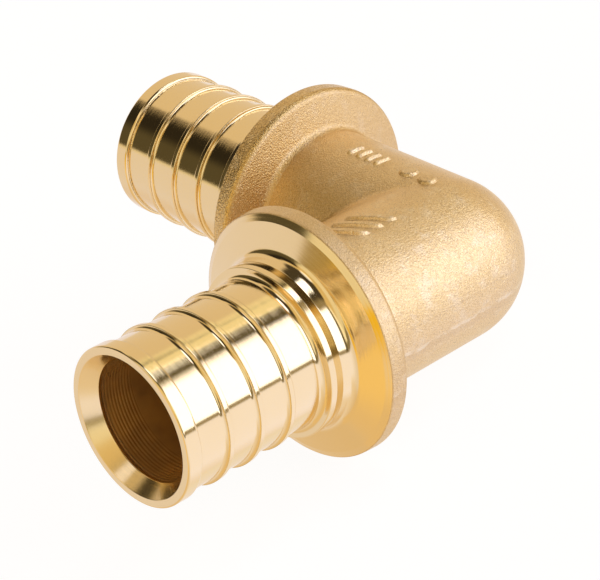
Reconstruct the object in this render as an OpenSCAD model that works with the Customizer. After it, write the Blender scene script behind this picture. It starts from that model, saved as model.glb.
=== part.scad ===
// Elbow fitting for cross-linked polyethylene pipe: a forged brass quarter bend
// with a turned, ringed spigot and a collar on each leg. Millimetres.
// It lies as it comes to rest on a table: on the ball of its corner and on the
// lower back edge of both collars, with the two mouths a little raised.

/* [Body] */
// Outer radius of the forged tubes and of the ball at the corner
body_r = 8.79; // [8.4:0.01:9.2]
// Radius of the waterway through both legs
bore_r = 6.26; // [5.6:0.01:6.6]

/* [Spigot] */
// From the crossing of the leg axes to each mouth
mouth_x = 41.25; // [40:0.05:46]
// Outer radius of the nose and of the gripping rings
crest_r = 8.2; // [8.1:0.01:8.4]
// Outer radius of the turned floors between the rings
floor_r = 7.83; // [7.6:0.01:7.95]
// Width of the nose ring at the mouth
nose_w = 1.76; // [1.2:0.02:2.4]
// Rounding of the outer edge of the mouth
lip_round = 0.2; // [0.1:0.05:0.3]
// Radius of the inner chamfer at the mouth
lip_r = 7.34; // [6.8:0.02:7.5]
// Length of the inner chamfer along the leg
lip_chamfer = 1.56; // [0.8:0.02:2.5]
// Number of narrow gripping rings behind the nose
ring_count = 3; // [1:1:3]
// Distance from one ring to the next
ring_pitch = 3.854; // [3.2:0.01:3.9]
// Width of the flat crest of a ring
ring_w = 0.55; // [0.3:0.05:1]
// Radius of the hollow ramp on the mouth side of a ring
ramp_r = 0.5; // [0.45:0.05:0.8]

/* [Root] */
// From the crossing of the leg axes to the root step
root_x = 24; // [23.5:0.05:25]
// Radius of the plain root of the spigot
root_r = 8.97; // [8.6:0.01:9.2]
// Fillet at the foot of the root step
step_fillet = 0.65; // [0.3:0.05:0.65]
// Fillet between the root and the collar
root_fillet = 0.55; // [0.3:0.05:0.8]

/* [Collar] */
// Radius of the collar rim at its back edge
collar_r = 13; // [11.5:0.1:13.5]
// From the crossing of the leg axes to the back of the rim
collar_x = 17.65; // [17:0.05:18]
// Width of the rim with its rounded back edge
rim_w = 2.16; // [1.8:0.02:2.4]
// Draft of the rim towards the front, degrees
rim_draft = 3.3; // [0:0.1:6]
// Rounding of the back edge of the rim
rim_round = 0.75; // [0.3:0.05:1]
// Radial width of the chamfer on the front edge
rim_chamfer_w = 0.75; // [0.3:0.05:1.2]
// Slope of that chamfer from the plane of the rim, degrees
rim_chamfer_slope = 27.5; // [20:0.5:45]
// Slope of the turned front face, degrees
face_slope = 16.5; // [5:0.5:18]
// Slope of the forged back face, degrees
back_slope = 11.5; // [3:0.5:16]
// Fillet between the back face and the tube of the body
back_fillet = 0.8; // [0.4:0.05:1.5]

/* [Hidden] */
$fn = 64;
// how far a fillet patch reaches into the solid beside it
lap = 0.4;

// circle of the rounded back edge of the rim, as radius and distance along the leg
edge_c = [collar_r - rim_round, collar_x + rim_round];
// end of the rim at the front chamfer
rim_x = collar_x + rim_w;
rim_front_r = edge_c[0] + rim_round * cos(rim_draft)
    - (rim_x - edge_c[1] - rim_round * sin(rim_draft)) * tan(rim_draft);
// outer edge of the turned front face
face_r = rim_front_r - rim_chamfer_w;
face_x = rim_x + rim_chamfer_w * tan(rim_chamfer_slope);
// where the back face leaves the rounded edge
back_r = edge_c[0] + rim_round * sin(back_slope);
back_x = edge_c[1] - rim_round * cos(back_slope);

// distances along the leg of the front and back faces at a radius
function front_at(r) = face_x + (face_r - r) * tan(face_slope);
function back_at(r) = back_x - (back_r - r) * tan(back_slope);

// attitude at rest: lift of each leg and tilt of the plane of the axes
edge_far = sqrt(edge_c[0] * edge_c[0] + edge_c[1] * edge_c[1]);
leg_lift = acos((body_r - rim_round) / edge_far) - atan2(edge_c[1], edge_c[0]);
tilt = asin(sqrt(2) * sin(leg_lift));
// reach of the mouths to the left of the corner in that attitude
lean = cos(tilt) / sqrt(2);
reach = (mouth_x - lip_round) * lean
    + (crest_r - lip_round) * sqrt(1 - lean * lean) + lip_round;
half_big = 3 * mouth_x;

// Sections below are drawn with the radius as x and the distance along the leg as y.

// concave fillet between a cylinder and a face that slopes away from it;
// side is 1 where the face looks to the mouth and -1 where it looks to the corner
module foot_fillet(r0, y0, rad, slope, side) {
    cr = r0 + rad;
    cy = y0 - side * rad * tan(slope) + side * rad / cos(slope);
    tr = cr - rad * sin(slope);
    ty = cy - side * rad * cos(slope);
    difference() {
        polygon([
            [r0 - lap, cy],
            [r0, cy],
            [tr, ty],
            [tr, ty - side * lap],
            [r0 - lap, ty - side * lap]
        ]);
        translate([cr, cy]) circle(r = rad);
    }
}

// one gripping ring: a sharp step to the collar, a hollow ramp to the mouth
module ring_section(y0) {
    ramp_l = sqrt(ramp_r * ramp_r - pow(ramp_r - (crest_r - floor_r), 2));
    difference() {
        translate([floor_r - lap, y0])
            square([crest_r - floor_r + lap, ring_w + ramp_l]);
        translate([floor_r + ramp_r, y0 + ring_w + ramp_l])
            circle(r = ramp_r);
    }
}

// nose ring with its rounded outer edge
module nose_section() {
    difference() {
        translate([floor_r - lap, mouth_x - nose_w])
            square([crest_r - floor_r + lap, nose_w]);
        difference() {
            translate([crest_r - lip_round, mouth_x - lip_round])
                square(2 * lip_round);
            translate([crest_r - lip_round, mouth_x - lip_round])
                circle(r = lip_round);
        }
    }
}

// collar with its turned front, drafted rim and forged back
module collar_section() {
    union() {
        polygon([
            [body_r - lap, back_at(body_r - lap)],
            [back_r, back_x],
            edge_c,
            [edge_c[0] + rim_round * cos(rim_draft), edge_c[1] + rim_round * sin(rim_draft)],
            [rim_front_r, rim_x],
            [face_r, face_x],
            [body_r - lap, front_at(body_r - lap)]
        ]);
        translate(edge_c) circle(r = rim_round);
    }
}

// everything turned or forged round the axis of one leg, before the waterway
module outer_section() {
    union() {
        // spigot, root and tube
        square([floor_r, mouth_x]);
        square([body_r, edge_c[1]]);
        translate([0, edge_c[1]])
            square([root_r, root_x - edge_c[1]]);
        // gripping rings
        nose_section();
        for (i = [1:ring_count])
            ring_section(mouth_x - nose_w - i * ring_pitch);
        foot_fillet(floor_r, root_x, step_fillet, 0, 1);
        collar_section();
        foot_fillet(root_r, front_at(root_r), root_fillet, face_slope, 1);
        foot_fillet(body_r, back_at(body_r), back_fillet, back_slope, -1);
    }
}

module leg_section() {
    difference() {
        union() {
            outer_section();
            intersection() {
                circle(r = body_r);
                translate([0, -body_r])
                    square(body_r);
            }
        }
        // waterway with its ball end and the chamfer at the mouth
        circle(r = bore_r);
        translate([-1, 0])
            square([bore_r + 1, mouth_x + 1]);
        polygon([
            [bore_r - lap, mouth_x - lip_chamfer - lap],
            [bore_r, mouth_x - lip_chamfer],
            [lip_r, mouth_x],
            [lip_r, mouth_x + 1],
            [bore_r - lap, mouth_x + 1]
        ]);
    }
}

// one leg as far as the plane that halves the corner
module half_elbow() {
    intersection() {
        rotate([0, 0, 225])
            rotate([0, 90, 0])
                rotate_extrude()
                    leg_section();
        translate([-half_big, -2 * half_big, -half_big])
            cube(2 * half_big);
    }
}

// the whole fitting, tilted back onto its ball and the two rims
module elbow() {
    color([0.8, 0.62, 0.36])
        translate([(reach - body_r) / 2, 0, body_r])
            rotate([0, tilt, 0])
                union() {
                    half_elbow();
                    mirror([0, 1, 0])
                        half_elbow();
                }
}

elbow();
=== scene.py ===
"""Elbow fitting for plastic pipe: one forged brass piece with two turned spigots.

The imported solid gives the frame. This script dresses it: the same form with fine
edges, a rolled inner corner, turned and blasted brass, and plain raised marks.
"""

import math

import bpy
import numpy as np
from bpy.props import (
    FloatProperty,
    FloatVectorProperty,
    IntProperty,
    PointerProperty,
)
from mathutils import Euler, Matrix, Vector


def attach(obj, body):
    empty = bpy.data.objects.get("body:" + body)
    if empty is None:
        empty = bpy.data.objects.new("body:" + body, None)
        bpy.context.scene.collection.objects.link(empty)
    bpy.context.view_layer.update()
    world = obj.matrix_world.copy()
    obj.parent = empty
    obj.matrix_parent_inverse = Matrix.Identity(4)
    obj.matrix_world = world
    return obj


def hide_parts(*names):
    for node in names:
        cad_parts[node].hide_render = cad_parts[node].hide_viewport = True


bl_info = {
    "name": "Brass pipe elbow",
    "version": (1, 0, 0),
    "blender": (4, 5, 0),
    "location": "View3D > Sidebar > Elbow",
    "description": "Builds a brass elbow fitting, its finishes and its stage",
    "category": "Add Mesh",
}

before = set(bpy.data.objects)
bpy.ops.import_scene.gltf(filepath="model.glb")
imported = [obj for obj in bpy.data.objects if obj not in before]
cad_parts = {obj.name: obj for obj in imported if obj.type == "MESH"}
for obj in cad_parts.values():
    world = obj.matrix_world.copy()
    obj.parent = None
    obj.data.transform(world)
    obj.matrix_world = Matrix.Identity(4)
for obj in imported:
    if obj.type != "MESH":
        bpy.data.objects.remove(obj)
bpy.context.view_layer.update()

MM = 0.001


def millimetres(text, value, name, low=0.0):
    """A size of the piece: value is in millimetres, the property in metres."""
    return FloatProperty(
        name=name,
        description=text,
        default=value * MM,
        min=low,
        precision=5,
        subtype="DISTANCE",
        unit="LENGTH",
    )


def degrees(text, value, name):
    """An angle: value is in degrees, the property in radians."""
    return FloatProperty(
        name=name,
        description=text,
        default=math.radians(value),
        subtype="ANGLE",
        unit="ROTATION",
    )


def colour(text, value, name):
    """A linear colour."""
    return FloatVectorProperty(
        name=name, description=text, default=value, size=3, min=0.0, max=1.0, subtype="COLOR"
    )


# Sizes


class ELBOW_PG_body(bpy.types.PropertyGroup):
    """Sizes of the forged and turned piece, as in the solid."""

    body_radius: millimetres("Outer radius of the forged tubes and the ball", 8.79, "Body radius")
    bore_radius: millimetres("Radius of the waterway", 6.26, "Bore radius")
    mouth: millimetres("From the crossing of the axes to each mouth", 41.25, "Mouth distance")
    crest_radius: millimetres("Radius of the nose and of the rings", 8.2, "Crest radius")
    floor_radius: millimetres("Radius of the floors between the rings", 7.83, "Floor radius")
    nose_width: millimetres("Width of the nose ring", 1.76, "Nose width")
    nose_round: millimetres("Rounding of the rear edge of the nose", 0.28, "Nose rounding")
    lip_round: millimetres("Rounding of the outer edge of the mouth", 0.2, "Lip rounding")
    lip_radius: millimetres("Radius of the inner chamfer at the mouth", 7.34, "Lip radius")
    lip_chamfer: millimetres("Length of the inner chamfer", 1.56, "Lip chamfer")
    ring_count: IntProperty(
        name="Rings", description="Narrow gripping rings on each spigot", default=3, min=1, max=3
    )
    ring_pitch: millimetres("Distance from one ring to the next", 3.854, "Ring pitch")
    ring_width: millimetres("Width of the flat crest of a ring", 0.55, "Ring width")
    ramp_radius: millimetres("Radius of the hollow ramp of a ring", 0.5, "Ramp radius")
    foot_fillet: millimetres("Fillet at the foot of a ring's step", 0.24, "Foot fillet")
    root_distance: millimetres("From the crossing of the axes to the root step", 24.0, "Root")
    root_radius: millimetres("Radius of the plain root", 8.93, "Root radius")
    land: millimetres("Width of the land behind the root step", 0.68, "Land")
    land_slope: degrees("Slope of the land", 4.5, "Land slope")
    hollow: millimetres("Width of the hollow behind the land", 0.92, "Hollow")
    hollow_depth: millimetres("Depth of the hollow behind the land", 0.13, "Hollow depth")
    land_round: millimetres("Rounding of the rear edge of the land", 0.12, "Land rounding")
    hollow_round: millimetres("Rounding of the floor of the hollow", 0.4, "Hollow rounding")
    shoulder_slope: degrees("Slope of the shoulder behind the hollow", 13.6, "Shoulder slope")
    step_fillet: millimetres("Fillet at the foot of the root step", 0.65, "Step fillet")
    root_fillet: millimetres("Fillet between root and collar", 1.0, "Root fillet")
    collar_radius: millimetres("Radius of the collar rim at its back edge", 13.0, "Collar radius")
    collar_distance: millimetres("From the crossing to the back of the rim", 17.65, "Collar")
    rim_width: millimetres("Width of the rim with its rounded edge", 2.16, "Rim width")
    rim_draft: degrees("Draft of the rim", 3.3, "Rim draft")
    rim_round: millimetres("Rounding of the back edge of the rim", 0.75, "Rim rounding")
    rim_chamfer: millimetres("Radial width of the front chamfer", 0.75, "Rim chamfer")
    chamfer_slope: degrees("Slope of the front chamfer", 27.5, "Chamfer slope")
    face_slope: degrees("Slope of the turned front face", 16.5, "Face slope")
    back_slope: degrees("Slope of the forged back face", 11.5, "Back slope")
    back_fillet: millimetres("Fillet between back face and tube", 0.8, "Back fillet")
    edge_round: millimetres("Broken edge of turned corners", 0.06, "Broken edge")
    inner_roll: millimetres("Rolling radius of the inner corner", 1.7, "Inner corner")
    tilt: degrees("Tilt of the plane of the axes at rest", 17.5704, "Tilt")
    corner_x: millimetres("Crossing of the axes, along X", 12.49576, "Corner X")
    around: IntProperty(
        name="Around", description="Points round each leg", default=200, min=48, max=256
    )


class ELBOW_PG_brass(bpy.types.PropertyGroup):
    """Colours and finish of the brass, with painted shade on the backs of the collars and deep in
    the bore.
    """

    turned: colour("Turned and polished brass", (0.88, 0.70, 0.36), "Turned brass")
    # painted shade: deep in the bore the metal takes these darker, browner colours in place of its
    # shade and the light bounced inside it
    drilled_shade_dark: colour("Drilled metal deep inside, darker", (0.42, 0.20, 0.03), "Drilled, dark")
    drilled_shade_pale: colour("Drilled metal deep inside, paler", (0.74, 0.39, 0.07), "Drilled, pale")
    blasted: colour("Blasted brass of the forging", (0.83, 0.58, 0.22), "Blasted brass")
    rubbed: colour("Wisps where the skin was rubbed", (0.96, 0.82, 0.56), "Rubbed wisps")
    bright_speck: colour("Bright specks of the blasting", (1.0, 0.84, 0.50), "Bright specks")
    dark_speck: colour("Dark specks of the blasting", (0.42, 0.26, 0.09), "Dark specks")
    # painted shade: the backs of the collars, which face the tubes, are coloured darker
    backs_painted_shade: colour("Backs of the collars", (0.66, 0.43, 0.14), "Painted shade on backs")
    under_land: colour("Below the trimmed land", (0.62, 0.41, 0.15), "Below the land")
    trimmed: colour("Edge of the trimmed land", (1.0, 0.88, 0.62), "Trimmed edge")
    front_rim: colour("Rim of the front collar", (0.62, 0.44, 0.18), "Front rim")
    rear_rim_speck: colour("Grain of the rear rim", (0.36, 0.23, 0.08), "Rear rim grain")
    turned_roughness: FloatProperty(
        name="Turned roughness", description="Roughness of the turned faces",
        default=0.085, min=0.0, max=1.0, subtype="FACTOR",
    )
    blasted_roughness: FloatProperty(
        name="Blasted roughness", description="Roughness of the blasted faces",
        default=0.36, min=0.0, max=1.0, subtype="FACTOR",
    )
    grain: millimetres("Size of the grains left by blasting", 0.14, "Grain")
    tool_pitch: millimetres("Distance between fine tool marks", 0.11, "Tool pitch")
    boring_pitch: millimetres("Distance between rings of the boring tool", 0.36, "Boring pitch")


class ELBOW_PG_marks(bpy.types.PropertyGroup):
    """Plain raised marks on the upper side of the legs."""

    height: millimetres("How far the marks stand proud", 0.3, "Mark height")
    edge: millimetres("Width of the soft edge of a mark", 0.24, "Mark edge")
    bar_count: IntProperty(
        name="Bars", description="Small bars on the rear leg", default=4, min=1, max=8
    )
    bar_start: millimetres("First bar from the corner", 7.6, "First bar")
    bar_pitch: millimetres("Distance between the small bars", 1.25, "Bar pitch")
    bar_length: millimetres("Size of a small bar along the leg", 0.58, "Bar length")
    bar_width: millimetres("Size of a small bar across the leg", 2.0, "Bar width")
    bar_round: millimetres("Rounding of the corners of a small bar", 0.28, "Bar rounding")
    bar_slant: FloatProperty(name="Bar slant", description="Slant of a small bar", default=0.12)
    pip_count: IntProperty(
        name="Pips", description="Round pips on the rear leg", default=2, min=1, max=4
    )
    pip_start: millimetres("First pip from the corner", 1.2, "First pip")
    pip_pitch: millimetres("Distance between the pips", 2.6, "Pip pitch")
    pip_size: millimetres("Width of a pip", 1.9, "Pip width")
    pip_round: millimetres("Rounding of a pip", 0.92, "Pip rounding")
    long_count: IntProperty(
        name="Long bars", description="Long bars on the front leg", default=3, min=1, max=5
    )
    long_start: millimetres("First long bar from the corner", 9.3, "First long bar")
    long_pitch: millimetres("Distance between the long bars", 1.9, "Long bar pitch")
    long_length: millimetres("Size of a long bar along the leg", 1.0, "Long bar length")
    long_width: millimetres("Size of a long bar across the leg", 3.8, "Long bar width")
    long_round: millimetres("Rounding of the corners of a long bar", 0.48, "Long bar rounding")
    long_slant: FloatProperty(
        name="Long bar slant", description="Slant of a long bar", default=0.8
    )


class ELBOW_PG_stage(bpy.types.PropertyGroup):
    """Floor, studio and camera."""

    floor: colour("Colour of the floor", (0.95, 0.95, 0.945), "Floor")
    floor_size: millimetres("Width of the floor", 3000.0, "Floor size")
    camera_place: FloatVectorProperty(
        name="Camera place", description="Place of the camera", size=3,
        default=(0.0456987, -0.2118502, 0.1245473), subtype="TRANSLATION", unit="LENGTH",
    )
    camera_turn: FloatVectorProperty(
        name="Camera turn", description="Turn of the camera", size=3,
        default=(1.049923, 0.360417, 0.021764), subtype="EULER", unit="ROTATION",
    )
    lens: FloatProperty(
        name="Lens", description="Focal length in millimetres on a 36 mm sensor",
        default=143.378, min=10.0, subtype="DISTANCE_CAMERA",
    )


# Node trees


class Wire:
    """A node's output that can be used in plain arithmetic."""

    def __init__(self, net, socket):
        self.net = net
        self.socket = socket

    def maths(self, operation, *others, swap=False, clamp=False):
        values = [self, *others]
        if swap:
            values.reverse()
        settings = {"operation": operation, "use_clamp": clamp}
        return self.net.node("ShaderNodeMath", settings, dict(enumerate(values)))

    def __add__(self, other):
        return self.maths("ADD", other)

    __radd__ = __add__

    def __sub__(self, other):
        return self.maths("SUBTRACT", other)

    def __rsub__(self, other):
        return self.maths("SUBTRACT", other, swap=True)

    def __mul__(self, other):
        return self.maths("MULTIPLY", other)

    __rmul__ = __mul__

    def __truediv__(self, other):
        return self.maths("DIVIDE", other)

    def __neg__(self):
        return self.maths("MULTIPLY", -1.0)

    def __abs__(self):
        return self.maths("ABSOLUTE")

    def above(self, other):
        return self.maths("GREATER_THAN", other)

    def at_least(self, other):
        return self.maths("MAXIMUM", other)

    def clamped(self):
        return self.maths("ADD", 0.0, clamp=True)

    def step(self, low, high):
        """0 at low and before it, 1 from high on; low may be the greater number."""
        flip = low > high
        return self.net.node(
            "ShaderNodeMapRange",
            {"interpolation_type": "SMOOTHSTEP"},
            {0: self, 1: min(low, high), 2: max(low, high), 3: float(flip), 4: float(not flip)},
        )

    def between(self, low, high, soft):
        """1 from low to high, falling to 0 over soft on each side."""
        return self.step(low - soft, low) * self.step(high + soft, high)


class Net:
    """A node tree that grows node by node."""

    def __init__(self, tree):
        self.tree = tree

    def node(self, kind, settings=None, inputs=None, out=0):
        """A new node with its settings and inputs; what comes back is one output."""
        node = self.tree.nodes.new(kind)
        for key, value in (settings or {}).items():
            setattr(node, key, value)
        for key, value in (inputs or {}).items():
            if isinstance(value, Wire):
                self.tree.links.new(value.socket, node.inputs[key])
            else:
                node.inputs[key].default_value = value
        return Wire(self, node.outputs[out]) if node.outputs else None

    def mix(self, factor, first, second):
        """A colour between first and second."""
        def shade(colour_or_wire):
            if isinstance(colour_or_wire, Wire):
                return colour_or_wire
            return (*colour_or_wire, 1.0)

        return self.node(
            "ShaderNodeMix", {"data_type": "RGBA", "clamp_factor": True},
            {0: factor, 6: shade(first), 7: shade(second)}, out=2,
        )

    def attribute(self, name):
        return self.node("ShaderNodeAttribute", {"attribute_name": name}, out="Fac")

    def object_place(self):
        return self.node("ShaderNodeTexCoord", out="Object")

    def noise(self, scale, detail, roughness):
        """Noise in the piece's own space; scale is about its spots in a metre."""
        return self.node(
            "ShaderNodeTexNoise", {"noise_dimensions": "3D"},
            {"Vector": self.object_place(), "Scale": scale, "Detail": detail,
             "Roughness": roughness},
        )

    def parts(self, vector):
        """The x, y and z of a vector."""
        split = self.tree.nodes.new("ShaderNodeSeparateXYZ")
        self.tree.links.new(vector.socket, split.inputs[0])
        return [Wire(self, output) for output in split.outputs]

    def camera_ray(self):
        """1 for rays from the camera, 0 for all others."""
        return self.node("ShaderNodeLightPath", out="Is Camera Ray")


def scaled(shade, factors):
    """A colour times a factor for each channel, kept within white."""
    return tuple(min(1.0, channel * factor) for channel, factor in zip(shade, factors))


def new_material(name):
    """An empty material and its net."""
    material = bpy.data.materials.new(name)
    material.use_nodes = True
    material.node_tree.nodes.clear()
    return material, Net(material.node_tree)


# Finishes

# Places on a leg, in millimetres from the crossing of the axes
BORED = (36.2, 39.2)
DRILLED = (39.6, 38.9)
COLLAR_FRONT = (21.2, 20.9)
COLLAR_BACK = (16.6, 18.0)
COLLAR_RIM = (18.0, 19.95)
# Heights over the plane of the axes, in millimetres: the trimmed land and what is near it
LAND = (-1.4, 0.9)
UNDER_LAND = (-2.3, -1.5)
LAND_EDGE = (-1.5, -1.2)


def turned_brass(brass):
    """Brass cut on a lathe and polished: fine rings of the tool, bright edges."""
    material, net = new_material("turned_brass")
    along = net.attribute("along")
    inside = net.attribute("inside")
    marks = net.node(
        "ShaderNodeTexNoise", {"noise_dimensions": "1D"},
        {"W": along / (brass.tool_pitch / MM), "Scale": 1.0, "Detail": 3.0, "Roughness": 0.62},
    )
    scuffs = net.noise(900.0, 3.0, 0.6)
    broad = net.noise(160.0, 2.0, 0.5)
    # fine rings left by the boring tool just inside each mouth
    waves = (along * (2.0 * math.pi * MM / brass.boring_pitch)).maths("SINE")
    bored = waves * along.between(*BORED, 0.6) * inside
    tint = net.mix(
        (broad - 0.5) * 0.9 + 0.5, tuple(brass.turned), scaled(brass.turned, (0.985, 0.955, 0.88))
    )
    roughness = (
        brass.turned_roughness
        + (marks - 0.5) * 0.08
        + (scuffs - 0.5) * 0.05
        + inside * 0.14
        + along.step(*COLLAR_FRONT) * 0.04
    )
    # drilled metal deep inside is dull, and is coloured a darker, browner brass there: painted
    # shade and painted bounce light of the waterway
    deep = inside * along.step(*DRILLED)
    metal = 1.0 - deep * 0.45
    swirl = net.noise(170.0, 3.0, 0.55).step(0.35, 0.65)
    drilled = net.mix(swirl, tuple(brass.drilled_shade_dark), tuple(brass.drilled_shade_pale))
    tint = net.mix(deep * 0.8, tint, drilled)
    height = marks * 0.55 + scuffs * 0.12 + bored * 2.4
    bump = net.node(
        "ShaderNodeBump", None, {"Strength": 0.22, "Distance": 0.04 * MM, "Height": height}
    )
    shader = net.node(
        "ShaderNodeBsdfPrincipled", None,
        {"Base Color": tint, "Metallic": metal, "Roughness": roughness, "Normal": bump,
         "Coat Weight": 1.0, "Coat Roughness": 0.1, "Coat IOR": 1.8},
    )
    net.node("ShaderNodeOutputMaterial", None, {"Surface": shader})
    return material


def blasted_brass(brass):
    """Forged brass after blasting: matte, finely grained, with small sparks of light."""
    material, net = new_material("blasted_brass")
    grain = net.noise(0.9 / brass.grain, 2.0, 0.6)
    specks = net.noise(1.5 / brass.grain, 1.0, 0.5)
    dents = net.node(
        "ShaderNodeTexVoronoi", {"feature": "SMOOTH_F1"},
        {"Vector": net.object_place(), "Scale": 0.7 / brass.grain, "Smoothness": 0.4},
    )
    swells = net.noise(300.0, 3.0, 0.55)
    clouds = net.noise(110.0, 4.0, 0.6)
    wisps = net.noise(520.0, 6.0, 0.72)
    along = net.attribute("along")
    backs = along.between(*COLLAR_BACK, 0.5)
    rims = along.between(*COLLAR_RIM, 0.15)
    rear_rim = rims * net.attribute("rearward").step(-2.0, 2.0)
    # the land that trimming the flash leaves round the plane of the axes
    seam = net.attribute("level") + (swells - 0.5) * 1.3 + (wisps - 0.5) * 0.9
    land = seam.between(*LAND, 0.22)
    under_land = seam.between(*UNDER_LAND, 0.35)
    land_edge = seam.between(*LAND_EDGE, 0.15) * wisps.step(0.42, 0.56)
    tint = net.mix(
        clouds.step(0.3, 0.7),
        scaled(brass.blasted, (0.95, 0.93, 0.88)),
        scaled(brass.blasted, (1.03, 1.04, 1.08)),
    )
    # wisps and specks first, then painted shade that darkens the backs of the collars, and the
    # trimmed land;
    # the rear rim is rubbed brighter and shows its grain, the front one is duller
    for factor, shade in (
        (wisps.step(0.50, 0.66) * 0.38, brass.rubbed),
        (specks.step(0.56, 0.66) * 0.62, brass.bright_speck),
        (specks.step(0.45, 0.35) * 0.62, brass.dark_speck),
        (backs * 0.5, brass.backs_painted_shade),
        (under_land * 0.3, brass.under_land),
        (land_edge * 0.45, brass.trimmed),
        ((rims - rear_rim) * 0.22, brass.front_rim),
        (rear_rim * specks.step(0.52, 0.40) * 0.55, brass.rear_rim_speck),
    ):
        tint = net.mix(factor, tint, tuple(shade))
    roughness = (
        brass.blasted_roughness + backs * 0.1 + rims * 0.14 - rear_rim * 0.34
        + (swells - 0.5) * 0.12 - grain.step(0.56, 0.72) * 0.1
    )
    height = grain * 0.9 + dents * 0.6 + swells * 0.45 + clouds * 0.5 + land * 0.4
    bump = net.node(
        "ShaderNodeBump", None, {"Strength": 1.0, "Distance": 0.08 * MM, "Height": height}
    )
    shader = net.node(
        "ShaderNodeBsdfPrincipled", None,
        {"Base Color": tint, "Metallic": 1.0, "Roughness": roughness, "Normal": bump,
         "Coat Weight": 0.9 - backs * 0.3 - rear_rim * 0.7, "Coat Roughness": 0.36,
         "Coat IOR": 1.9},
    )
    net.node("ShaderNodeOutputMaterial", None, {"Surface": shader})
    return material


def finish_named(name, maker):
    """The finish of that name, made once."""
    return bpy.data.materials.get(name) or maker(bpy.context.scene.elbow_brass)


# The body

TURNED, BLASTED = 0, 1
# A point this far from the end of each arc keeps the flat beside it flat, in millimetres
SUPPORT = 0.05
LEAST_SUPPORT = 0.004
# Degrees of an arc for each of its steps, for a small rounding and for a large one
SMALL_ROUNDING = 0.3
SMALL_STEP = 22.0
LARGE_STEP = 11.0
# Flat left between the two roundings of a step, in millimetres
NOSE_FLAT = 0.02
RING_FLAT = 0.03
# Share of a ring's hollow ramp that its foot is rounded with
RAMP_SHARE = 0.86
# Length of the plain run that ends an outline, in millimetres
END_RUN = 2.0
# Steps round the inner corner, and points on each straight run beside it
BEND = 24
BETWEEN = 4
# Rolling radius where the two drillings meet, in millimetres
DRILL_ROLL = 0.15


def rounded_path(corners):
    """Points (x, r, zone) of a line through corners (x, r, rounding, zone)."""
    path = []
    count = len(corners)
    for i, (x, r, rounding, zone) in enumerate(corners):
        here = np.array((x, r))
        if i in (0, count - 1) or rounding <= 0.0:
            path.append((x, r, zone))
            continue
        before = np.array(corners[i - 1][:2]) - here
        after = np.array(corners[i + 1][:2]) - here
        room_before, room_after = np.linalg.norm(before), np.linalg.norm(after)
        before, after = before / room_before, after / room_after
        turn = math.pi - math.acos(max(-1.0, min(1.0, float(before @ after))))
        reach = rounding * math.tan(turn / 2.0)
        start, end = here + before * reach, here + after * reach
        centre = here + (before + after) / np.linalg.norm(before + after) * (
            rounding / math.cos(turn / 2.0)
        )
        degrees_a_step = SMALL_STEP if rounding < SMALL_ROUNDING else LARGE_STEP
        steps = max(2, int(math.ceil(math.degrees(turn) / degrees_a_step)))
        near = min(SUPPORT, 0.25 * (room_before - reach), 0.25 * (room_after - reach))
        if near > LEAST_SUPPORT:
            path.append((*(start + before * near), zone))
        first, last = start - centre, end - centre
        for k in range(steps + 1):
            t = k / steps
            arm = (
                math.sin((1 - t) * turn) * first + math.sin(t * turn) * last
            ) / math.sin(turn)
            path.append((*(centre + arm), zone))
        if near > LEAST_SUPPORT:
            path.append((*(end + after * near), zone))
    return path


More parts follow.
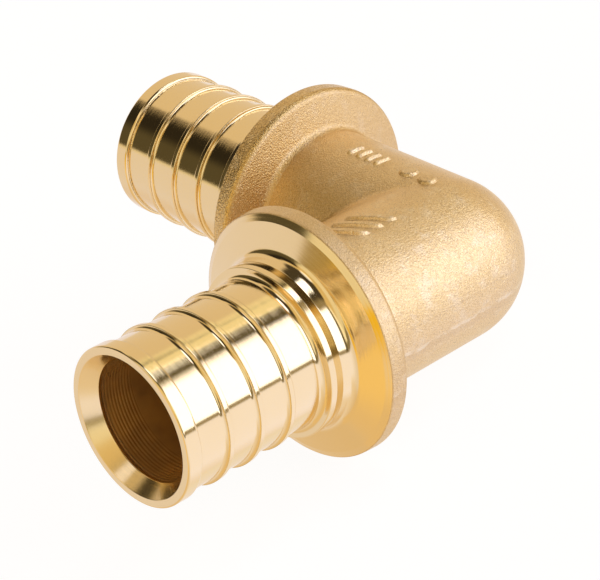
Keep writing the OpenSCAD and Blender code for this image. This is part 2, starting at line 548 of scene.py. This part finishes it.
def leg_outline(size):
    """The outside of a leg from the mouth to the tube, as (x, r, zone) in millimetres."""
    mm = {
        item.identifier: getattr(size, item.identifier) / MM
        for item in size.bl_rna.properties if item.unit == "LENGTH"
    }
    edge = mm["edge_round"]
    crest, floor, mouth = mm["crest_radius"], mm["floor_radius"], mm["mouth"]
    drop = crest - floor
    nose_back = mouth - mm["nose_width"]
    corners = [
        (mouth, (mm["lip_radius"] + crest) / 2.0, 0.0, TURNED),
        (mouth, crest, mm["lip_round"], TURNED),
        (nose_back, crest, mm["nose_round"], TURNED),
        (nose_back, floor, drop - mm["nose_round"] - NOSE_FLAT, TURNED),
    ]
    # each ring: hollow ramp to the mouth, sharp step to the collar
    steep = math.acos((mm["ramp_radius"] - drop) / mm["ramp_radius"])
    run = drop / math.tan(steep)
    for i in range(1, size.ring_count + 1):
        at = nose_back - i * mm["ring_pitch"]
        top = at + mm["ring_width"]
        corners += [
            (top + run, floor, mm["ramp_radius"] * RAMP_SHARE, TURNED),
            (top, crest, edge, TURNED),
            (at, crest, drop - mm["foot_fillet"] - RING_FLAT, TURNED),
            (at, floor, mm["foot_fillet"], TURNED),
        ]
    # the collar: rounded back edge, drafted rim, front chamfer and turned face
    draft, slope = size.rim_draft, size.chamfer_slope
    edge_r = mm["collar_radius"] - mm["rim_round"]
    edge_x = mm["collar_distance"] + mm["rim_round"]
    rim_x = mm["collar_distance"] + mm["rim_width"]
    rim_r = edge_r + mm["rim_round"] * math.cos(draft) - (
        rim_x - edge_x - mm["rim_round"] * math.sin(draft)
    ) * math.tan(draft)
    face_r = rim_r - mm["rim_chamfer"]
    face_x = rim_x + mm["rim_chamfer"] * math.tan(slope)
    back_r = edge_r + mm["rim_round"] * math.sin(size.back_slope)
    back_x = edge_x - mm["rim_round"] * math.cos(size.back_slope)

    def front_at(r):
        return face_x + (face_r - r) * math.tan(size.face_slope)

    def back_at(r):
        return back_x - (back_r - r) * math.tan(size.back_slope)

    # where the lines of the rim and of the back face would cross
    lean = math.tan(draft)
    pitch = math.tan(size.back_slope)
    cross_r = (rim_r + (rim_x - back_x + back_r * pitch) * lean) / (1 + pitch * lean)
    cross_x = back_at(cross_r)
    root = mm["root_radius"]
    body = mm["body_radius"]
    # the root: a land, a shallow hollow and a shoulder that rises to the face
    land_x = mm["root_distance"] - mm["land"]
    land_r = root + mm["land"] * math.tan(size.land_slope)
    low_x, low_r = land_x - mm["hollow"], land_r - mm["hollow_depth"]
    rise, run_in = math.tan(size.shoulder_slope), math.tan(size.face_slope)
    meet_r = (low_r + (low_x - face_x - face_r * run_in) * rise) / (1 - run_in * rise)
    corners += [
        (mm["root_distance"], floor, mm["step_fillet"], TURNED),
        (mm["root_distance"], root, edge * 1.5, TURNED),
        (land_x, land_r, mm["land_round"], TURNED),
        (low_x, low_r, mm["hollow_round"], TURNED),
        (front_at(meet_r), meet_r, mm["root_fillet"], TURNED),
        (face_x, face_r, edge * 1.5, TURNED),
        (rim_x, rim_r, edge * 2.0, BLASTED),
        (cross_x, cross_r, mm["rim_round"], BLASTED),
        (back_at(body), body, mm["back_fillet"], BLASTED),
        (back_at(body) - END_RUN, body, 0.0, BLASTED),
    ]
    return rounded_path(corners)


def bore_outline(size):
    """The waterway of a leg from the mouth inwards, as (x, r, zone)."""
    mouth, lip = size.mouth / MM, size.lip_radius / MM
    bore, length = size.bore_radius / MM, size.lip_chamfer / MM
    edge = size.edge_round / MM
    path = rounded_path([
        (mouth, (lip + size.crest_radius / MM) / 2.0, 0.0, TURNED),
        (mouth, lip, edge, TURNED),
        (mouth - length, bore, edge * 2.5, TURNED),
        (mouth - length - END_RUN, bore, 0.0, TURNED),
    ])
    return path[1:]


def corner_row(radius, roll, c, s, steps):
    """Points round the corner at one angle of the leg, as (x1, x2, z).

    The angle is given by its cosine c and sine s. On the inner side of the corner
    the points lie on a ball of radius roll that touches both tubes, and on the outer
    side on the ball of the tube's own radius.
    """
    if c > 0.0:
        middle = (radius + roll) * c
        height = (radius + roll) * s
        spread = math.acos(max(-1.0, min(1.0, s * s)))
        points = []
        for k in range(steps + 1):
            t = k / steps
            if spread < 1e-6:
                a, b = 1 - t, t
            else:
                a = math.sin((1 - t) * spread) / math.sin(spread)
                b = math.sin(t * spread) / math.sin(spread)
            points.append((
                middle - roll * c * b,
                middle - roll * c * a,
                height - roll * s * (a + b),
            ))
        return points
    reach = radius * -c
    return [
        (
            -reach * math.sin(0.5 * math.pi * k / steps),
            -reach * math.cos(0.5 * math.pi * k / steps),
            radius * s,
        )
        for k in range(steps + 1)
    ]


def leg_frame(size):
    """Matrix from (front leg, rear leg, normal) in millimetres to the part's frame in metres."""
    tilt = size.tilt
    lean = math.cos(tilt) / math.sqrt(2.0)
    lift = math.sin(tilt) / math.sqrt(2.0)
    half = 1.0 / math.sqrt(2.0)
    front = Vector((-lean, -half, lift))
    rear = Vector((-lean, half, lift))
    normal = Vector((math.sin(tilt), 0.0, math.cos(tilt)))
    corner = Vector((size.corner_x, 0.0, size.body_radius))
    matrix = Matrix.Identity(4)
    for row in range(3):
        matrix[row][0] = front[row] * MM
        matrix[row][1] = rear[row] * MM
        matrix[row][2] = normal[row] * MM
        matrix[row][3] = corner[row]
    return matrix


def skin_row(angle, outline, bore, size):
    """One closed row of points of the skin, at one angle round the legs.

    It runs from the front mouth over the outside to the rear mouth, and back through
    the waterway. With each point come its distance along the leg, its zone, and
    whether it is inside.
    """
    c, s = math.cos(angle), math.sin(angle)
    points, traits = [], []

    def on_leg(front, x, r, zone, inside):
        points.append((x, r * c, r * s) if front else (r * c, x, r * s))
        traits.append((x, zone, inside))

    def corner(radius, roll, start, front, zone, inside):
        end = max(0.0, (radius + roll) * c)
        straight = [start + (end - start) * k / (BETWEEN + 1) for k in range(1, BETWEEN + 1)]
        for x in straight:
            on_leg(front, x, radius, zone, inside)
        arc = corner_row(radius, roll, c, s, BEND)
        for k, point in enumerate(arc if front else arc[::-1]):
            points.append(point)
            traits.append((end * (1 - math.sin(math.pi * k / BEND)), zone, inside))
        for x in reversed(straight):
            on_leg(not front, x, radius, zone, inside)

    for x, r, zone in outline:
        on_leg(True, x, r, zone, 0)
    corner(size.body_radius / MM, size.inner_roll / MM, outline[-1][0], True, BLASTED, 0)
    for x, r, zone in reversed(outline):
        on_leg(False, x, r, zone, 0)
    for x, r, zone in bore:
        on_leg(False, x, r, zone, 1)
    corner(size.bore_radius / MM, DRILL_ROLL, bore[-1][0], False, TURNED, 1)
    for x, r, zone in reversed(bore):
        on_leg(True, x, r, zone, 1)
    return points, traits


def elbow_mesh(size):
    """The whole piece as one closed skin: rows round the legs, each row a closed loop."""
    outline, bore = leg_outline(size), bore_outline(size)
    around = size.around
    rows = [
        skin_row(2.0 * math.pi * (j + 0.5) / around, outline, bore, size)
        for j in range(around)
    ]
    points = np.array([row_points for row_points, row_traits in rows])
    flat = points.reshape(-1, 3)
    count = points.shape[1]
    index = np.arange(around * count).reshape(around, count)
    right = np.roll(index, -1, axis=1)
    below = np.roll(index, -1, axis=0)
    across = np.roll(below, -1, axis=1)
    quads = np.stack([index, right, across, below], axis=-1).reshape(-1, 4)
    # the volume that the faces enclose is above zero once they look outwards
    p, q, r, s = np.moveaxis(flat[quads], 1, 0)
    if (p * (np.cross(q, r) + np.cross(r, s))).sum() < 0:
        quads = quads[:, ::-1]
    mesh = bpy.data.meshes.new("elbow_skin")
    mesh.from_pydata(flat.tolist(), [], quads.tolist())
    # all rows take the traits of the first; they differ only near the corner
    along, zone, inside = np.array(rows[0][1], dtype=float).T
    slots = np.minimum(zone, np.roll(zone, -1)).astype(np.int32)
    mesh.polygons.foreach_set("material_index", np.tile(slots, around))
    marked = {
        "along": np.tile(along, around),
        "inside": np.tile(inside, around),
        "level": flat[:, 2],
        "rearward": flat[:, 1] - flat[:, 0],
    }
    for name, values in marked.items():
        layer = mesh.attributes.new(name, "FLOAT", "POINT")
        layer.data.foreach_set("value", values.astype(np.float32))
    mesh.polygons.foreach_set("use_smooth", np.ones(len(quads), dtype=bool))
    mesh.transform(leg_frame(size))
    mesh.update()
    mesh.validate()
    return mesh


class ELBOW_OT_body(bpy.types.Operator):
    """Build the forged and turned body"""

    bl_idname = "elbow.body"
    bl_label = "Elbow body"

    def execute(self, context):
        size = context.scene.elbow_body
        mesh = elbow_mesh(size)
        mesh.materials.append(finish_named("turned_brass", turned_brass))
        mesh.materials.append(finish_named("blasted_brass", blasted_brass))
        piece = bpy.data.objects.new("elbow_skin", mesh)
        context.scene.collection.objects.link(piece)
        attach(piece, "root")
        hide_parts("elbow")
        return {"FINISHED"}


# Raised marks

# Vertices along each side of a mark
MARK_GRID = 26
# How far the foot of a mark and its underside lie below the tube's skin, in metres
MARK_SINK = 0.12 * MM
MARK_UNDERSIDE = 0.4 * MM


def mark_tree():
    """A row of plain raised marks that follow a round tube whose axis is X."""
    tree = bpy.data.node_groups.new("raised_marks", "GeometryNodeTree")
    kinds = {"Count": "NodeSocketInt", "Finish": "NodeSocketMaterial"}
    names = {}
    for name in ("Count", "Pitch", "Start", "Length", "Width", "Round", "Height", "Edge",
                 "Tube", "Slant", "Finish"):
        names[name] = tree.interface.new_socket(
            name, in_out="INPUT", socket_type=kinds.get(name, "NodeSocketFloat")
        ).identifier
    tree.interface.new_socket("Geometry", in_out="OUTPUT", socket_type="NodeSocketGeometry")
    net = Net(tree)
    entry = tree.nodes.new("NodeGroupInput")
    put = {output.name: Wire(net, output) for output in entry.outputs if output.name}

    def vector(x, y, z):
        return net.node("ShaderNodeCombineXYZ", None, {0: x, 1: y, 2: z})

    margin = put["Edge"] * 2.0
    block = net.node(
        "GeometryNodeMeshCube", None,
        {"Size": vector(put["Length"] + margin, put["Width"] + margin, MM),
         "Vertices X": MARK_GRID, "Vertices Y": MARK_GRID, "Vertices Z": 2},
    )
    u, v, w = net.parts(net.node("GeometryNodeInputPosition"))
    # distance beyond the outline of the mark, and from it a soft edge
    over_u = (abs(u) - (put["Length"] * 0.5 - put["Round"])).at_least(0.0)
    over_v = (abs(v) - (put["Width"] * 0.5 - put["Round"])).at_least(0.0)
    beyond = (over_u * over_u + over_v * over_v).maths("SQRT") - put["Round"]
    part = ((put["Edge"] - beyond) / (put["Edge"] * 2.0)).clamped()
    soft = part * part * (3.0 - 2.0 * part)
    top = soft * (put["Height"] + MARK_SINK) - MARK_SINK
    lift = w.above(0.0) * (top + MARK_UNDERSIDE) - MARK_UNDERSIDE
    # the block is bent round the tube
    turned = v / put["Tube"]
    out = put["Tube"] + lift
    wrapped = vector(u + v * put["Slant"], out * turned.maths("SINE"), out * turned.maths("COSINE"))
    bent = net.node("GeometryNodeSetPosition", None, {"Geometry": block, "Position": wrapped})
    number = net.node("GeometryNodeInputIndex")
    spots = net.node(
        "GeometryNodePoints", None,
        {"Count": put["Count"],
         "Position": vector(put["Start"] + number * put["Pitch"], 0.0, 0.0)},
    )
    placed = net.node("GeometryNodeInstanceOnPoints", None, {"Points": spots, "Instance": bent})
    real = net.node("GeometryNodeRealizeInstances", None, {"Geometry": placed})
    smooth = net.node("GeometryNodeSetShadeSmooth", None, {"Geometry": real})
    done = net.node(
        "GeometryNodeSetMaterial", None, {"Geometry": smooth, "Material": put["Finish"]}
    )
    net.node("NodeGroupOutput", None, {0: done})
    return tree, names


def raised_marks(context, tree, names, name, matrix, values):
    """One row of marks, made a plain mesh in the part's frame."""
    base = bpy.data.meshes.new(name + "_base")
    maker = bpy.data.objects.new(name + "_maker", base)
    context.scene.collection.objects.link(maker)
    modifier = maker.modifiers.new("marks", "NODES")
    modifier.node_group = tree
    for key, value in values.items():
        modifier[names[key]] = value
    context.view_layer.update()
    evaluated = maker.evaluated_get(context.evaluated_depsgraph_get())
    mesh = bpy.data.meshes.new_from_object(evaluated)
    maker.modifiers.clear()
    bpy.data.objects.remove(maker)
    mesh.name = name
    mesh.transform(matrix)
    mesh.update()
    if not mesh.polygons:
        raise RuntimeError("no mark was made for " + name)
    piece = bpy.data.objects.new(name, mesh)
    context.scene.collection.objects.link(piece)
    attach(piece, "root")


class ELBOW_OT_marks(bpy.types.Operator):
    """Set the plain raised marks on the upper side of both legs"""

    bl_idname = "elbow.marks"
    bl_label = "Raised marks"

    def execute(self, context):
        size, marks = context.scene.elbow_body, context.scene.elbow_marks
        tree, names = mark_tree()
        # leg axis as X, across as Y, normal as Z, and sizes in metres
        front = leg_frame(size) @ Matrix.Scale(1.0 / MM, 4)
        swap = Matrix(((0, 1, 0, 0), (1, 0, 0, 0), (0, 0, 1, 0), (0, 0, 0, 1)))
        rear = leg_frame(size) @ swap @ Matrix.Scale(1.0 / MM, 4)
        common = {
            "Height": marks.height, "Edge": marks.edge, "Tube": size.body_radius,
            "Finish": finish_named("blasted_brass", blasted_brass),
        }
        raised_marks(context, tree, names, "bar_marks", rear, {
            **common, "Count": marks.bar_count, "Pitch": marks.bar_pitch,
            "Start": marks.bar_start, "Length": marks.bar_length, "Width": marks.bar_width,
            "Round": marks.bar_round, "Slant": marks.bar_slant,
        })
        raised_marks(context, tree, names, "pip_marks", rear, {
            **common, "Count": marks.pip_count, "Pitch": marks.pip_pitch,
            "Start": marks.pip_start, "Length": marks.pip_size, "Width": marks.pip_size,
            "Round": marks.pip_round, "Slant": 0.0,
        })
        raised_marks(context, tree, names, "long_marks", front, {
            **common, "Count": marks.long_count, "Pitch": marks.long_pitch,
            "Start": marks.long_start, "Length": marks.long_length, "Width": marks.long_width,
            "Round": marks.long_round, "Slant": marks.long_slant,
        })
        return {"FINISHED"}


# The stage

# Colours of the studio, linear; a table and two walls, low and high parts apart
TABLE_NEAR = (1.08, 1.03, 1.22)
TABLE_NEAR_LOW = (0.95, 0.81, 0.70)
TABLE_RIGHT = (0.96, 0.86, 0.76)
TABLE_LEFT = (0.88, 0.78, 0.75)
TABLE_LEFT_LOW = (0.82, 0.62, 0.40)
GOLD_HIGH = (0.99, 0.60, 0.02)
GOLD_MIDDLE = (1.04, 0.73, 0.30)
GOLD_LOW = (0.88, 0.64, 0.36)
SMUDGE = (0.36, 0.26, 0.12)
FRONT_WALL = (0.92, 0.80, 0.58)
FRONT_WALL_HIGH = (0.82, 0.60, 0.29)
BACK_WALL = (0.82, 0.65, 0.45)
WALL_GLOW = (1.02, 0.88, 0.58)
SKYLINE = (0.22, 0.17, 0.08)
STRIP = (1.15, 1.05, 0.85)
OVERHEAD = (0.07, 0.055, 0.035)
BOX_FRAME = (0.34, 0.27, 0.16)
BOX_FRAME_CORE = (0.09, 0.07, 0.04)
LIGHT = (0.78, 0.80, 1.0)
FLAG_LOW = (0.1, 0.08, 0.042)
FLAG_HIGH = (0.028, 0.022, 0.014)
# How much brighter than their colour the white box and the lamps are
BOX_GAIN = 1.5
LAMP_GAIN = 1.9
WHITE = (1.0, 1.0, 1.0, 1.0)


def pointing(turn, rise):
    """The unit vector at a turn round the vertical and a rise above level, in degrees."""
    turn, rise = math.radians(turn), math.radians(rise)
    return (math.cos(rise) * math.cos(turn), math.cos(rise) * math.sin(turn), math.sin(rise))


def near_to(net, direction, place, far, close):
    """1 within close degrees of a place in the studio, 0 beyond far degrees."""
    facing = net.node(
        "ShaderNodeVectorMath", {"operation": "DOT_PRODUCT"},
        {0: direction, 1: pointing(*place)}, out="Value",
    )
    return facing.step(math.cos(math.radians(far)), math.cos(math.radians(close)))


class Studio:
    """What the metal sees, by turn and rise in the fitting's own frame, in degrees.

    Turn 0 looks from the corner away from the mouths, and 90 to the side of the
    rear leg. Rise 0 is the plane of the axes.
    """

    def __init__(self, net, tilt):
        self.net = net
        self.level = net.node(
            "ShaderNodeVectorRotate", {"rotation_type": "Y_AXIS"},
            {"Vector": net.node("ShaderNodeTexCoord", out="Generated"), "Angle": -tilt},
        )
        self.x, self.y, z = net.parts(self.level)
        self.rise = z.maths("ARCSINE") * (180.0 / math.pi)
        self.turn = self.y.maths("ARCTAN2", self.x) * (180.0 / math.pi)

    def patch(self, turns, turn_soft, rises, rise_soft):
        """1 between two turns and two rises, with soft edges."""
        return self.turn.between(*turns, turn_soft) * self.rise.between(*rises, rise_soft)

    def table(self):
        """The pale table below, gold beyond the front mouth."""
        mix, rise, turn = self.net.mix, self.rise, self.turn
        ahead = turn.between(-35.0, 30.0, 14.0)
        far_down = rise.step(-48.0, -62.0).at_least(rise.step(-26.0, -44.0) * (1.0 - ahead))
        right = mix(far_down, TABLE_NEAR, TABLE_NEAR_LOW)
        right = mix(turn.between(38.0, 130.0, 12.0), right, TABLE_RIGHT)
        left = mix(rise.step(-38.0, -52.0), TABLE_LEFT, TABLE_LEFT_LOW)
        table = mix(self.x.step(0.5, -0.5), right, left)
        gold = mix(rise.step(-14.0, -26.0), GOLD_HIGH, GOLD_MIDDLE)
        gold = mix(rise.step(-34.0, -48.0), gold, GOLD_LOW)
        table = mix(turn.between(-163.0, -128.0, 8.0), table, gold)
        smudge = self.patch((-168.0, -160.5), 3.0, (-11.0, 2.0), 4.0)
        return mix(smudge * 0.9, table, SMUDGE)

    def walls(self):
        """The warm walls above the table, with one brighter spot."""
        mix = self.net.mix
        front = mix(self.rise.step(22.0, 34.0), FRONT_WALL, FRONT_WALL_HIGH)
        walls = mix(self.y.step(-0.2, 0.4), front, BACK_WALL)
        return mix(self.patch((48.0, 74.0), 10.0, (49.0, 64.0), 5.0), walls, WALL_GLOW)

    def above(self, shade):
        """A dark skyline and a pale strip to the front, and the dark overhead."""
        mix = self.net.mix
        skyline = self.patch((-112.0, -66.0), 10.0, (-3.0, 7.0), 3.0)
        shade = mix(skyline * 0.9, shade, SKYLINE)
        shade = mix(self.patch((-84.0, -68.0), 3.0, (8.0, 44.0), 5.0), shade, STRIP)
        overhead = self.rise - self.turn.between(42.0, 62.0, 6.0) * 8.0
        return mix(overhead.step(52.0, 60.0), shade, OVERHEAD)

    def lights(self, shade):
        """The white box in its dark frame, and two round lamps, with their strength."""
        mix, rise, turn = self.net.mix, self.rise, self.turn
        lamp = near_to(self.net, self.level, (33.0, 71.5), 14.0, 10.5).at_least(
            near_to(self.net, self.level, (-149.0, 56.0), 11.0, 7.0) * 0.5
        )
        frame_mask = turn.between(-60.0, 42.0, 6.0) * rise.step(-4.5, -2.5)
        frame_mask = frame_mask * rise.step(67.0, 58.0)
        notch = turn.step(18.0, 26.0) * rise.step(42.0, 34.0)
        shade = mix(frame_mask * (1.0 - notch), shade, BOX_FRAME)
        core = self.patch((20.0, 39.0), 6.0, (45.0, 58.0), 4.0).at_least(
            self.patch((-61.0, -46.0), 4.0, (0.0, 48.0), 4.0)
        )
        shade = mix(core * 0.9, shade, BOX_FRAME_CORE)
        box = turn.between(-45.0, 22.0, 5.0) * rise.step(0.2, 2.0) * rise.step(55.0, 48.0)
        shade = mix(box.at_least(lamp), shade, LIGHT)
        return shade, 1.0 + box * BOX_GAIN + lamp * LAMP_GAIN

    def flag(self, shade):
        """The dark flag beyond the mouths, darker at its top."""
        from_left = (-self.y).maths("ARCTAN2", -self.x) * (180.0 / math.pi)
        dark = from_left.between(-33.0, 11.0, 6.0)
        dark = dark * self.rise.step(0.0, 3.0) * self.rise.step(48.0, 42.0)
        flag = self.net.mix(self.rise.step(19.0, 31.0), FLAG_LOW, FLAG_HIGH)
        return self.net.mix(dark, shade, flag)


def studio_world(tilt):
    """The studio for the metal, and white paper behind for the camera."""
    world = bpy.data.worlds.new("studio")
    world.use_nodes = True
    world.node_tree.nodes.clear()
    net = Net(world.node_tree)
    studio = Studio(net, tilt)
    shade = net.mix(studio.rise.step(-3.0, 0.0), studio.table(), studio.walls())
    shade, strength = studio.lights(studio.above(shade))
    shade = studio.flag(shade)
    seen = net.node("ShaderNodeBackground", None, {"Color": shade, "Strength": strength})
    paper = net.node("ShaderNodeBackground", None, {"Color": WHITE, "Strength": 1.0})
    both = net.node("ShaderNodeMixShader", None, {0: net.camera_ray(), 1: seen, 2: paper})
    net.node("ShaderNodeOutputWorld", None, {"Surface": both})
    bpy.context.scene.world = world


def paper_floor(shade):
    """Pale paper that renders white and keeps the shadow."""
    material, net = new_material("paper_floor")
    fibre = net.noise(40.0, 2.0, 0.5)
    tint = net.mix(fibre, tuple(shade), scaled(shade, (1.02, 1.02, 1.02)))
    paper = net.node("ShaderNodeBsdfDiffuse", None, {"Color": tint})
    white = net.node("ShaderNodeEmission", None, {"Color": WHITE, "Strength": 1.08})
    both = net.node(
        "ShaderNodeMixShader", None, {0: net.camera_ray() * 0.85, 1: paper, 2: white}
    )
    net.node("ShaderNodeOutputMaterial", None, {"Surface": both})
    return material


class ELBOW_OT_stage(bpy.types.Operator):
    """Set the floor, the studio light and the camera"""

    bl_idname = "elbow.stage"
    bl_label = "Stage"

    def execute(self, context):
        stage, size = context.scene.elbow_stage, context.scene.elbow_body
        half = stage.floor_size / 2.0
        mesh = bpy.data.meshes.new("floor")
        mesh.from_pydata(
            [(-half, -half, 0), (half, -half, 0), (half, half, 0), (-half, half, 0)],
            [], [(0, 1, 2, 3)],
        )
        mesh.materials.append(paper_floor(stage.floor))
        floor = bpy.data.objects.new("floor", mesh)
        floor.visible_glossy = False
        context.scene.collection.objects.link(floor)
        studio_world(size.tilt)
        camera_data = bpy.data.cameras.new("camera")
        camera_data.sensor_fit = "HORIZONTAL"
        camera_data.sensor_width = 36.0
        camera_data.lens = stage.lens
        camera_data.clip_start = 0.005
        camera_data.clip_end = 20.0
        camera = bpy.data.objects.new("camera", camera_data)
        camera.location = stage.camera_place
        camera.rotation_euler = Euler(stage.camera_turn)
        context.scene.collection.objects.link(camera)
        context.scene.camera = camera
        context.scene.view_settings.view_transform = "Standard"
        return {"FINISHED"}


class ELBOW_PT_panel(bpy.types.Panel):
    """Sizes and steps of the elbow"""

    bl_label = "Brass elbow"
    bl_idname = "ELBOW_PT_panel"
    bl_space_type = "VIEW_3D"
    bl_region_type = "UI"
    bl_category = "Elbow"

    def draw(self, context):
        scene = context.scene
        for group, operator in (
            (scene.elbow_body, "elbow.body"),
            (scene.elbow_brass, None),
            (scene.elbow_marks, "elbow.marks"),
            (scene.elbow_stage, "elbow.stage"),
        ):
            box = self.layout.box()
            for key in group.bl_rna.properties.keys():
                if key not in ("name", "rna_type"):
                    box.prop(group, key)
            if operator:
                box.operator(operator)


GROUPS = {
    "elbow_body": ELBOW_PG_body,
    "elbow_brass": ELBOW_PG_brass,
    "elbow_marks": ELBOW_PG_marks,
    "elbow_stage": ELBOW_PG_stage,
}
CLASSES = (*GROUPS.values(), ELBOW_OT_body, ELBOW_OT_marks, ELBOW_OT_stage, ELBOW_PT_panel)


def register():
    for item in CLASSES:
        bpy.utils.register_class(item)
    for name, group in GROUPS.items():
        setattr(bpy.types.Scene, name, PointerProperty(type=group))


def unregister():
    for name in GROUPS:
        delattr(bpy.types.Scene, name)
    for item in reversed(CLASSES):
        bpy.utils.unregister_class(item)


def main():
    register()
    bpy.ops.elbow.stage()
    bpy.ops.elbow.body()
    bpy.ops.elbow.marks()
    bpy.context.view_layer.update()


if __name__ == "__main__":
    main()
